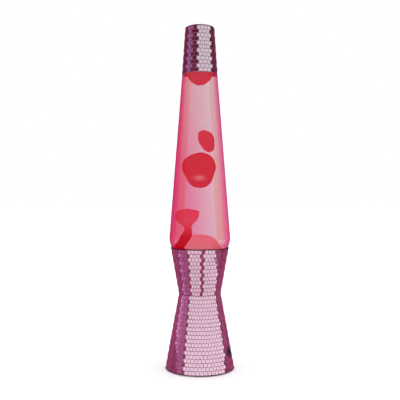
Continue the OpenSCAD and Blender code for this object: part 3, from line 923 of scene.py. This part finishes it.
FINISHES = {
    "lower_cone_shell": LACQUER, "upper_cone_shell": LACQUER, "cap_shell": CAP_LACQUER,
    "waist_eyelet": STEEL, "socket_bracket": STEEL, "socket_nipple": STEEL, "locknuts": STEEL,
    "lock_washers": STEEL, "socket_body": PORCELAIN, "socket_screw_shell": BRASS,
    "socket_centre_contact": BRASS, "socket_terminals": BRASS, "bottom_cover": PLASTIC,
    "rubber_feet": RUBBER, "cord_grommet": RUBBER, "bulb_contact_tip": SOLDER,
    "bulb_insulator": VITRITE, "bulb_screw_cap": BRASS, "bulb_envelope": BULB_GLASS,
    "bulb_stem": BULB_GLASS, "bulb_lead_wires": WIRE, "bulb_filament": TUNGSTEN,
    "crown_cap": TIN, "crown_liner": LINER, "heating_coil": WIRE,
}
for name, finish in FINISHES.items():
    paint(NODES[name], finish)

# ---------------------------------------------------------------- studio


def make_receivers():
    """What most of the panels light: all but the globe and what is in it."""
    group = bpy.data.collections.new("panel_receivers")
    for obj in (glass, liquid, mound, column, hanging, large, small):
        group.objects.link(obj)
    for item in group.collection_objects:
        item.light_linking.link_state = "EXCLUDE"
    return group


def make_glass_only():
    """The globe's glass by itself, for the panels that only it mirrors."""
    group = bpy.data.collections.new("glass_only")
    group.objects.link(glass)
    return group


RECEIVERS = make_receivers()
GLASS_ONLY = make_glass_only()
SOFT_WHITE = (1, 0.96, 1.06)
LILAC = (1, 0.5, 1.05)
# heights of the panels: the low ones are seen in the upper cone, the middle ones in the lower cone
# and the high ones in the cap
LOW = (-1400, -330)
MIDDLE = (-150, 420)
MIDDLE_SIDE = (10, 420)
HIGH = (560, 1500)
TALL = (-1500, 1500)
BELLY = (-420, -20)


def emission_material(name, strength, colour):
    mat = bpy.data.materials.new(name)
    mat.use_nodes = True
    tree = mat.node_tree
    tree.nodes.clear()
    glow = add(tree, "ShaderNodeEmission")
    glow.inputs["Color"].default_value = (*colour, 1)
    glow.inputs["Strength"].default_value = strength
    out = add(tree, "ShaderNodeOutputMaterial")
    tree.links.new(glow.outputs["Emission"], out.inputs["Surface"])
    return mat


def panel(name, az0, az1, heights, strength, colour=SOFT_WHITE, distance=1500, lights=RECEIVERS):
    """A curved light panel round the lamp, between two azimuths and two heights. Azimuth 0 is the
    front, and 90 is towards +X. It is seen only in reflections, and with a group in lights only in
    those of that group."""
    degrees_a_step = 4
    steps = max(4, int(abs(az1 - az0) / degrees_a_step))
    verts, faces = [], []
    for i in range(steps + 1):
        a = math.radians(az0 + (az1 - az0) * i / steps)
        for z in heights:
            verts.append((distance * math.sin(a), -distance * math.cos(a), z))
    for i in range(steps):
        faces.append((2 * i, 2 * i + 1, 2 * i + 3, 2 * i + 2))
    obj = new_object(name, verts, faces)
    paint(obj, emission_material(name, strength, colour))
    obj.visible_camera = False
    obj.visible_diffuse = False
    obj.visible_transmission = False
    obj.visible_volume_scatter = False
    obj.visible_shadow = False
    if lights:
        obj.light_linking.receiver_collection = lights


def make_floor():
    mat, tree, shader = new_material("pale_floor")
    colour = ramp(tree, noise(tree, 3, 2), [(0.3, (0.90, 0.90, 0.90)), (0.7, (0.93, 0.93, 0.93))])
    tree.links.new(colour, shader.inputs["Base Color"])
    shader.inputs["Roughness"].default_value = 0.9
    shader.inputs["Specular IOR Level"].default_value = 0.1
    shader.inputs["Emission Color"].default_value = (1, 1, 1, 1)
    shader.inputs["Emission Strength"].default_value = 0.22
    size = 40000
    corners = [(-size, -size, 0), (size, -size, 0), (size, size, 0), (-size, size, 0)]
    obj = new_object("floor", corners, [(0, 1, 2, 3)])
    paint(obj, mat)
    obj.visible_glossy = False
    obj.visible_transmission = False


def make_world():
    """White all round. Straight through the globe it looks pinker towards +X, and after a bounce in
    the globe it is red, which keeps faint mirror images off the wax. Glossy reflections don't see it:
    they see the light panels instead."""
    world = bpy.data.worlds.new("studio")
    bpy.context.scene.world = world
    world.use_nodes = True
    tree = world.node_tree
    white = tree.nodes["Background"]
    white.inputs["Color"].default_value = (1, 1, 1, 1)
    white.inputs["Strength"].default_value = 1
    where = add(tree, "ShaderNodeTexCoord")
    axes = add(tree, "ShaderNodeSeparateXYZ")
    tree.links.new(where.outputs["Generated"], axes.inputs["Vector"])
    side = share(tree, axes.outputs["X"], -0.6, 0.6)
    level = ramp(tree, side, [
        (0.0, (0.95, 1, 1)), (0.17, (0.85, 0.88, 0.84)), (0.33, (0.84, 0.88, 0.95)),
        (0.425, (0.84, 0.79, 0.91)), (0.575, (0.85, 0.54, 0.70)), (0.68, (0.85, 0.44, 0.65)),
        (0.75, (0.85, 0.32, 0.49)), (1.0, (0.86, 0.32, 0.53))])
    raised = ramp(tree, side, [
        (0.0, (0.8, 0.88, 0.9)), (0.22, (0.78, 0.89, 0.90)), (0.5, (0.78, 0.74, 0.78)),
        (0.72, (0.8, 0.57, 0.63)), (1.0, (0.8, 0.46, 0.56))])
    rise = share(tree, axes.outputs["Z"], -0.03, 0.1)
    tint = add(tree, "ShaderNodeMix", data_type="RGBA")
    tree.links.new(rise, tint.inputs[MIX_FACTOR])
    tree.links.new(level, tint.inputs[MIX_FIRST])
    tree.links.new(raised, tint.inputs[MIX_SECOND])
    path = add(tree, "ShaderNodeLightPath")
    bounces = add(tree, "ShaderNodeMath", operation="ADD")
    tree.links.new(path.outputs["Glossy Depth"], bounces.inputs[0])
    tree.links.new(path.outputs["Diffuse Depth"], bounces.inputs[1])
    bounced = add(tree, "ShaderNodeMath", operation="GREATER_THAN")
    tree.links.new(bounces.outputs["Value"], bounced.inputs[0])
    bounced.inputs[1].default_value = 0.5
    both = add(tree, "ShaderNodeMix", data_type="RGBA")
    tree.links.new(bounced.outputs["Value"], both.inputs[MIX_FACTOR])
    tree.links.new(tint.outputs[MIX_RESULT], both.inputs[MIX_FIRST])
    both.inputs[MIX_SECOND].default_value = (0.8, 0.12, 0.2, 1)
    tinted = add(tree, "ShaderNodeBackground", Strength=1.25)
    tree.links.new(both.outputs[MIX_RESULT], tinted.inputs["Color"])
    mix = add(tree, "ShaderNodeMixShader")
    tree.links.new(path.outputs["Is Transmission Ray"], mix.inputs["Fac"])
    tree.links.new(white.outputs["Background"], mix.inputs[1])
    tree.links.new(tinted.outputs["Background"], mix.inputs[2])
    tree.links.new(mix.outputs["Shader"], tree.nodes["World Output"].inputs["Surface"])
    world.cycles_visibility.glossy = False


def make_camera():
    data = bpy.data.cameras.new("camera")
    data.lens = 54.9
    data.sensor_width = 36
    camera = bpy.data.objects.new("camera", data)
    camera.location = (0.0002, -0.661, 0.1816)
    camera.rotation_euler = (math.radians(90), 0, 0)
    bpy.context.scene.collection.objects.link(camera)
    bpy.context.scene.camera = camera


make_camera()
make_floor()
make_world()
panel("low_left", -50, 6, LOW, 4.8)
panel("low_right", 20, 89, LOW, 5.1)
panel("low_side_a", -106, -90, LOW, 2.5, LILAC)
panel("low_side_b", -90, -76, LOW, 1.3, LILAC)
panel("low_side_c", -76, -56, LOW, 0.6, LILAC)
panel("mid_main", -57, 96, MIDDLE, 5.6)
panel("mid_side_a", -112, -98, MIDDLE_SIDE, 3.4, LILAC)
panel("mid_side_b", -98, -86, MIDDLE_SIDE, 2.1, LILAC)
panel("mid_side_c", -86, -62, MIDDLE_SIDE, 1.1, LILAC)
panel("high_main", -14, 85, HIGH, 5.2)
panel("high_side", -104, -60, HIGH, 1.8, LILAC)
# these two light everything, since a panel hides what is behind it even from what it doesn't light
panel("rear", 114, 246, TALL, 1, (0.36, 0.07, 0.165), distance=1450, lights=None)
panel("back", 165, 195, TALL, 3.4, distance=1430, lights=None)
panel("fill", -180, 180, (-1600, 1700), 0.08, distance=1800)
# the globe mirrors panels of its own, low beside its belly
panel("belly_left", -114, -100, BELLY, 0.9, (1, 0.8, 0.9), distance=1400, lights=GLASS_ONLY)
panel("belly_right", 72, 114, BELLY, 1.5, (1, 0.85, 0.92), distance=1400, lights=GLASS_ONLY)
bpy.context.scene.view_settings.view_transform = "Standard"
